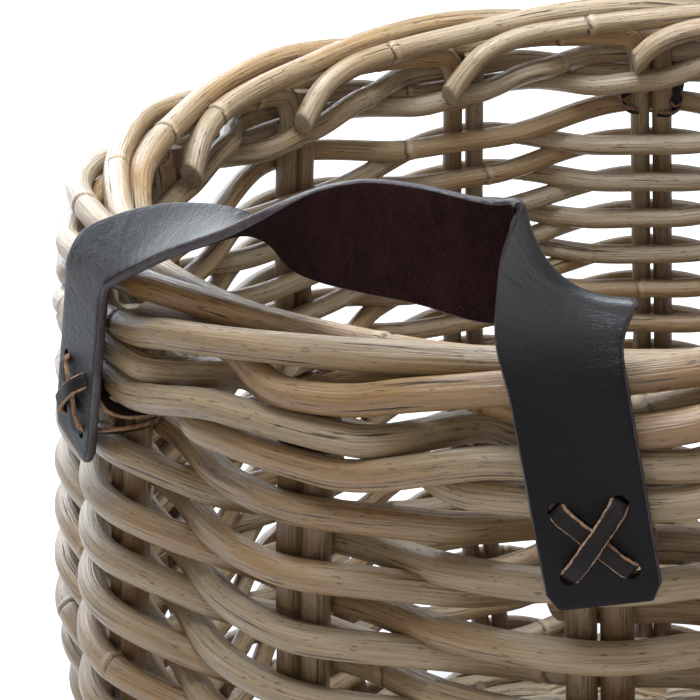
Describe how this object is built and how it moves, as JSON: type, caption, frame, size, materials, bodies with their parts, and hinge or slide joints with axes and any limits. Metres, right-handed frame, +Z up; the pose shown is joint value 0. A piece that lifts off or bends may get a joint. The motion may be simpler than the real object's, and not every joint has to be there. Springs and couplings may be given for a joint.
{
  "type": "wicker log basket",
  "caption": "Round, slightly bellied log basket woven from thick rattan cane round paired stakes, with a rolled rim and two laced leather strap handles.",
  "frame": {"origin": "middle of the basket at floor level", "axes": "+Z up; the handles stand over -Y (front) and +Y (back), each with its hinge line along X"},
  "size_m": [0.443, 0.4543, 0.4075],
  "materials": {
    "weaver_cane": "semi-gloss, grey-brown unpeeled rattan with darker streaks",
    "stake_cane": "satin, darker brown rattan",
    "border_cane": "semi-gloss, grey-brown rattan with node rings",
    "strap_leather": "near-black brown grain side with a soft sheen, dark red-brown suede on the flesh side",
    "lace_leather": "dark brown flat lace with raw tan edges"
  },
  "bodies": {
    "basket": {"weave_row_01": "weaver_cane", "weave_row_02": "weaver_cane", "weave_row_03": "weaver_cane", "weave_row_04": "weaver_cane", "weave_row_05": "weaver_cane", "weave_row_06": "weaver_cane", "weave_row_07": "weaver_cane", "weave_row_08": "weaver_cane", "weave_row_09": "weaver_cane", "weave_row_10": "weaver_cane", "weave_row_11": "weaver_cane", "weave_row_12": "weaver_cane", "weave_row_13": "weaver_cane", "weave_row_14": "weaver_cane", "weave_row_15": "weaver_cane", "weave_row_16": "weaver_cane", "weave_row_17": "weaver_cane", "weave_row_18": "weaver_cane", "stake_pair_01": "stake_cane", "stake_pair_02": "stake_cane", "stake_pair_03": "stake_cane", "stake_pair_04": "stake_cane", "stake_pair_05": "stake_cane", "stake_pair_06": "stake_cane", "stake_pair_07": "stake_cane", "stake_pair_08": "stake_cane", "stake_pair_09": "stake_cane", "stake_pair_10": "stake_cane", "stake_pair_11": "stake_cane", "stake_pair_12": "stake_cane", "stake_pair_13": "stake_cane", "stake_pair_14": "stake_cane", "rim_border": "border_cane", "foot_border": "border_cane", "base_sticks_lengthwise": "stake_cane", "base_sticks_crosswise": "stake_cane", "base_weave": "weaver_cane", "front_strap_end_left": "strap_leather", "front_strap_end_right": "strap_leather", "back_strap_end_left": "strap_leather", "back_strap_end_right": "strap_leather", "front_lace_left": "lace_leather", "front_lace_right": "lace_leather", "back_lace_left": "lace_leather", "back_lace_right": "lace_leather"},
    "front_handle": {"front_strap_arch": "strap_leather"},
    "back_handle": {"back_strap_arch": "strap_leather"}
  },
  "joints": [
    {"name": "front_handle_hinge", "type": "hinge", "parent": "basket", "child": "front_handle", "pos_m": [0, -0.187, 0.3665], "axis": [1, 0, 0], "range_deg": [-70, 105]},
    {"name": "back_handle_hinge", "type": "hinge", "parent": "basket", "child": "back_handle", "pos_m": [0, 0.187, 0.3665], "axis": [-1, 0, 0], "range_deg": [-70, 105]}
  ]
}
